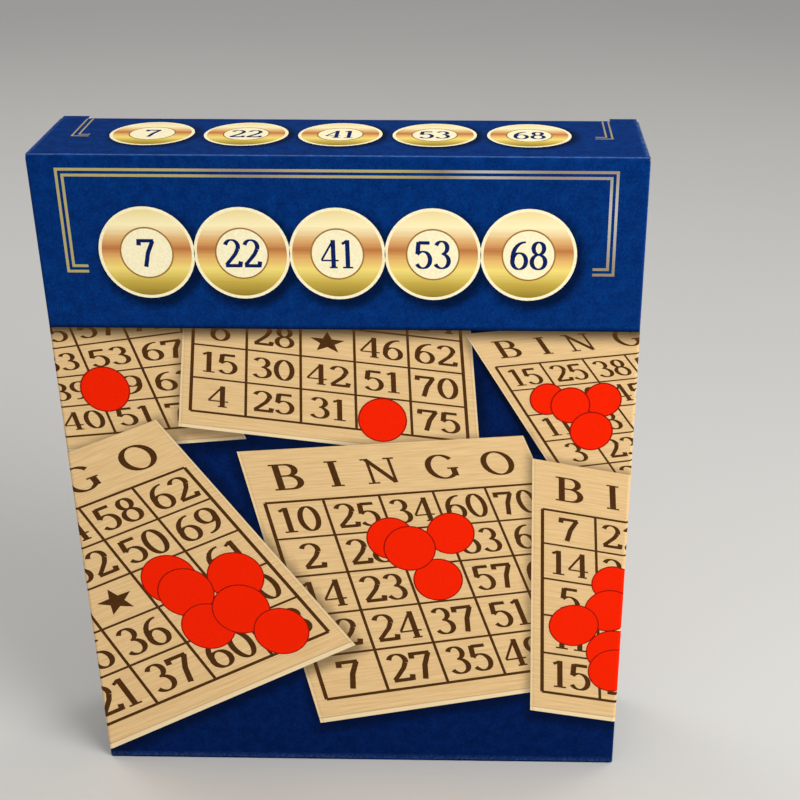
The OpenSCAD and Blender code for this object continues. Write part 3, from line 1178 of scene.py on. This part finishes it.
def folds():
    """The strips over the front top fold and the two side folds of the dust flaps."""
    outer, inner = bent(-HALF_D, BOX_H, FOLD_R, BOARD, 1, WALL_TOP, LID_FRONT)
    fold_strip("front_top_fold", outer, inner, LID_HALF_W, "X")
    dust_low, dust_high = node_box("dust_flap_right")
    for side, name in ((-1, "left"), (1, "right")):
        end_x = side * (HALF_W - 0.9)
        outer, inner = bent(side * HALF_W, dust_high.z, 0.5, 0.45, -side, WALL_TOP - 0.3, end_x)
        strip_half = min(-dust_low.y, dust_high.y) - 0.4
        fold_strip(f"dust_fold_{name}", outer, inner, strip_half, "Y")


# ---------------------------------------------------------------- back and sides


def flat_card(layers, cx, base, cell, rows, chips, level=0.03):
    """A card drawn square on: face, ink and chips."""

    def mapped(u, v):
        return cx + (u - 2.5) * cell, base + v * cell

    left, right, low, high = CARD_EDGES
    edges_u = [left, -0.11] + steps(0, CELLS, 0.5) + [5.11, right]
    edges_v = [low, -0.4, -0.2] + steps(0, high, 0.5)
    layers["card"].grid(edges_u, edges_v, level, mapped)
    card_lines(layers["ink"], level + 0.012, mapped)
    card_numbers(layers["ink"], rows, level + 0.012, mapped, squeeze=0.95, size=0.62)
    card_head(layers["ink"], level + 0.012, mapped, squeeze=0.95)
    for k, (column, row) in enumerate(chips):
        x, y = mapped(column + 0.5, CELLS - row - 0.5)
        chip(layers["chip"], layers["chip_edge"], x, y, cell * 0.44, level + 0.03 + CHIP_STEP * k)
    return [mapped(u, v) for u, v in ((left, low), (right, low), (right, high), (left, high))]


def bingo_numbers(seed):
    """A random card's rows: fifteen possible numbers in each column, and a free square in the middle."""
    draw = random.Random(seed)
    columns = [draw.sample(range(15 * c + 1, 15 * c + 16), CELLS) for c in range(CELLS)]
    rows = [[str(columns[c][r]) for c in range(CELLS)] for r in range(CELLS)]
    rows[2][2] = "*"
    return rows


def wall_film(name, quarter_turns, half, shade, top=WALL_TOP):
    """The blue print over a whole wall, bent a little way round both corner folds."""
    film = Layer()
    flat = half - CORNER_R
    limit = flat + 0.35
    xs = [-limit] + steps(-flat, flat, 3.0) + [limit]
    film.grid(xs, steps(FOOT_Z, BAND_Z, 3.0) + steps(BAND_Z, top, 2.0)[1:], FILM_T)
    film.done(name, wall_place(quarter_turns), "blue", shade=shade, wear=edge_wear(limit, FOOT_Z, top, 0.7))


BACK_BALL_R = 11.5
BACK_CHIP_X = 76
BACK_CHIP_R = 8.2
BACK_CHIPS_Y = range(40, 172, 22)
SIDE_BALL_R = 12.5
SIDE_ROW_R = 11
SIDE_ROW_Y = range(154, 0, -31)


def back_picture():
    """A guessed back: the title band, one card with a finished diagonal, and two rows of chips."""
    layers = picture_layers()
    outline = flat_card(layers, 0, 34, 19.6, bingo_numbers(75), [(k, k) for k in (0, 1, 3, 4)])
    for bx, text in BALLS:
        numbered_ball(layers, bx, BALL_Y, BACK_BALL_R, text, TITLE_LEVEL)
    bracket(layers["bracket"], 87.3, 233.2, 190, 6.6, BRACKET_LEVEL)
    for side in (-1, 1):
        for k, y in enumerate(BACK_CHIPS_Y):
            level = 0.03 + CHIP_STEP * (k % 2)
            chip(layers["chip"], layers["chip_edge"], side * BACK_CHIP_X, y, BACK_CHIP_R, level)
    balls = [(bx, BALL_Y, BACK_BALL_R) for bx, _ in BALLS]

    def shade(x, y):
        if y > BAND_Z:
            return ball_shade(x, y, balls)
        dark = 0.72 * soft_edge(inside_by(outline, x - 1.2, y + 2.0), SHADOW_SOFT)
        return max(dark, 0.8 * soft_edge(y - BAND_Z, BAND_SHADOW))

    wall_film("back_film", 2, HALF_W, shade, WALL_TOP - BACK_DROP)
    finish_layers(layers, "back", wall_place(2))


def side_picture(name, quarter_turns):
    """A guessed side: one ball in the band, and a column of balls below it."""
    layers = picture_layers()
    numbered_ball(layers, 0, BALL_Y, SIDE_BALL_R, "75", TITLE_LEVEL)
    bracket(layers["bracket"], 18.5, 231.5, 190, 4.5, BRACKET_LEVEL)
    balls = [(0, BALL_Y, SIDE_BALL_R)]
    for y, (_, text) in zip(SIDE_ROW_Y, BALLS):
        numbered_ball(layers, 0, y, SIDE_ROW_R, text, TITLE_LEVEL)
        balls.append((0, y, SIDE_ROW_R))

    def shade(x, y):
        dark = ball_shade(x, y, balls)
        return max(dark, 0.8 * soft_edge(y - BAND_Z, BAND_SHADOW)) if y <= BAND_Z else dark

    wall_film(f"{name}_film", quarter_turns, HALF_D, shade)
    finish_layers(layers, name, wall_place(quarter_turns))


# ---------------------------------------------------------------- contents


def board_face(low, high):
    """Outline of a board's printed face, a hair inside its edges."""
    return rounded(low.x + 0.1, high.x - 0.1, low.z + 0.1, high.z - 0.1, 2.9, 6)


CARD_COUNT = 8
TOKEN_NAMES = LETTERS.lower()


def playing_cards():
    """The printed face of each playing card."""
    for number in range(1, CARD_COUNT + 1):
        low, high = node_box(f"playing_card_{number}")
        left, right, bottom, top = CARD_EDGES
        cell_w = (high.x - low.x) / (right - left)
        cell_h = (high.z - low.z) / (top - bottom)

        def mapped(u, v):
            return low.x + (u - left) * cell_w, low.z + (v - bottom) * cell_h

        face, print_ink = Layer(), Layer()
        points = board_face(low, high)
        cells = [((x - low.x) / cell_w + left, (y - low.z) / cell_h + bottom) for x, y in points]
        face.face(points, 0.02, cells)
        card_lines(print_ink, 0.032, mapped)
        card_numbers(print_ink, bingo_numbers(number), 0.032, mapped, squeeze=0.95, size=0.62)
        card_head(print_ink, 0.032, mapped, squeeze=0.95)
        place = facing_front(low.y)
        face.done(f"card_{number}_face", place, "card", f"card_{number}", "card_print")
        print_ink.done(f"card_{number}_ink", place, "ink", f"card_{number}", "card_print")


def caller_board():
    """All seventy-five numbers in five columns, in cream on navy."""
    low, high = node_box("caller_board")
    place = facing_front(low.y)
    layers = {name: Layer() for name in ("navy", "cream")}
    layers["navy"].face(board_face(low, high), 0.02)
    cell_w, cell_h, foot = 28.0, 11.4, low.z + 10

    def mapped(u, v):
        return (u - 2.5) * cell_w, foot + v * cell_h

    for column, letter in enumerate(LETTERS):
        write(layers["cream"], letter, column + 0.5, 15.55, 0.75, 0.42, 0.034, mapped)
        for row in range(15):
            number = str(15 * column + row + 1)
            write(layers["cream"], number, column + 0.5, 14.5 - row, 0.62, 0.44, 0.034, mapped)
    for k in range(16):
        bar(layers["cream"], mapped(0, k), mapped(5, k), 0.25, 0.032)
    for k in range(6):
        bar(layers["cream"], mapped(k, 0), mapped(k, 15), 0.25, 0.0326)
    finish_layers(layers, "caller", place, "caller", "caller_print")


def leaflet():
    """A folded white leaflet with a small diagram of a card and a winning diagonal of chips."""
    low, high = node_box("rules_leaflet")
    place = facing_front(low.y)
    layers = {name: Layer() for name in ("grey_ink", "chip")}

    def mapped(u, v):
        return -30 + 12 * u, high.z - 92 + 12 * v

    card_lines(layers["grey_ink"], 0.03, mapped)
    for k in range(CELLS):
        disc(layers["chip"], *mapped(k + 0.5, k + 0.5), 4.4, 0.04)
    ring(layers["grey_ink"], 0, high.z - 14, 8, 0.6, 0.03)
    star(layers["grey_ink"], 0, high.z - 14, 6, 0.03, lambda x, y: (x, y))
    finish_layers(layers, "leaflet", place, "leaflet", "leaflet_paper")


def discs():
    """Numbers and rings on the front calling tokens."""
    for column, letter in enumerate(TOKEN_NAMES):
        low, high = node_box(f"calling_tokens_{letter}")
        cx, cz, r = (low.x + high.x) / 2, (low.z + high.z) / 2, (high.x - low.x) / 2
        layers = {"navy_ink": Layer()}
        write(layers["navy_ink"], str(15 * column + 8), cx, cz, 8.5, 1.0, 0.03, lambda x, y: (x, y))
        ring(layers["navy_ink"], cx, cz, r * 0.82, 0.5, 0.03)
        finish_layers(layers, f"token_{letter}", facing_front(low.y), "tray", "token_plastic")


def dress_cad_nodes():
    """Materials of the CAD nodes that stay as they are."""
    looks = {
        "board": ["glue_flap", "bottom_inner_panel", "bottom_minor_flap_left", "bottom_minor_flap_right"],
        "dust": ["dust_flap_left", "dust_flap_right"],
        "tuck": ["tuck_flap"],
        "greyboard": [f"playing_card_{i}" for i in range(1, CARD_COUNT + 1)] + ["caller_board"],
        "white_paper": ["rules_leaflet"],
        "tray": ["insert_tray"],
        "token": [f"calling_tokens_{c}" for c in TOKEN_NAMES],
        "marker": [f"marker_stack_{i}" for i in range(1, 6)],
    }
    for material, nodes in looks.items():
        for node in nodes:
            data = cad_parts[node].data
            data.materials.clear()
            data.materials.append(MATERIAL[material])


# ---------------------------------------------------------------- studio


WORLD_STRENGTH = 0.55
LIGHT_SPREAD = math.radians(100)
LIGHTS = (
    ("key", (0.64, -0.50, 0.60), (0.02, 0, 0.15), 0.7, 2.9),
    ("fill", (-0.9, -1.3, 0.8), (0, 0, 0.12), 1.2, 0.3),
    ("back_left", (-1.2, 0.9, 0.95), (0, 0, 0.12), 1.0, 2.1),
    ("back_right", (1.2, 0.9, 0.95), (0, 0, 0.12), 1.0, 2.1),
)
EYE = Vector((0.0465, -0.4573, 0.3649))
PITCH, YAW, ROLL = 0.4918, 0.0191, 0.0008


def studio():
    """A pale floor, a pale surround and soft lights, with the camera at the photograph's angle."""
    scene = bpy.context.scene
    scene.view_settings.view_transform = "Standard"
    world = bpy.data.worlds.new("studio_world")
    world.use_nodes = True
    background = world.node_tree.nodes["Background"].inputs
    background["Color"].default_value = (*srgb(240, 241, 243), 1.0)
    background["Strength"].default_value = WORLD_STRENGTH
    scene.world = world

    mesh = bmesh.new()
    bmesh.ops.create_grid(mesh, x_segments=4, y_segments=4, size=12.0)
    floor = bpy.data.meshes.new("studio_floor")
    mesh.to_mesh(floor)
    mesh.free()
    floor.materials.append(studio_floor())
    ground = bpy.data.objects.new("studio_floor", floor)
    scene.collection.objects.link(ground)

    for name, place, aim, size, power in LIGHTS:
        lamp = bpy.data.lights.new(name, "AREA")
        lamp.shape = "DISK"
        lamp.size = size
        lamp.energy = power
        lamp.spread = LIGHT_SPREAD
        light = bpy.data.objects.new(name, lamp)
        light.location = place
        light.rotation_euler = (Vector(aim) - Vector(place)).to_track_quat("-Z", "Y").to_euler()
        scene.collection.objects.link(light)

    forward = Vector((-math.sin(YAW) * math.cos(PITCH), math.cos(YAW) * math.cos(PITCH), -math.sin(PITCH)))
    right = Vector((math.cos(YAW), math.sin(YAW), 0))
    up = right.cross(forward)
    tilted_right = right * math.cos(ROLL) + up * math.sin(ROLL)
    tilted_up = up * math.cos(ROLL) - right * math.sin(ROLL)
    lens = bpy.data.cameras.new("camera")
    lens.lens = 64.75
    lens.shift_x = -0.075
    lens.shift_y = 0.075
    lens.sensor_width = 36.0
    lens.clip_start = 0.01
    lens.clip_end = 40.0
    camera = bpy.data.objects.new("camera", lens)
    camera.matrix_world = Matrix((
        (tilted_right.x, tilted_up.x, -forward.x, EYE.x),
        (tilted_right.y, tilted_up.y, -forward.y, EYE.y),
        (tilted_right.z, tilted_up.z, -forward.z, EYE.z),
        (0, 0, 0, 1),
    ))
    scene.collection.objects.link(camera)
    scene.camera = camera


studio()
dress_cad_nodes()
carton_shell()
top_panel()
folds()
front_picture()
top_picture()
back_picture()
side_picture("right_side", 1)
side_picture("left_side", 3)
playing_cards()
caller_board()
leaflet()
discs()
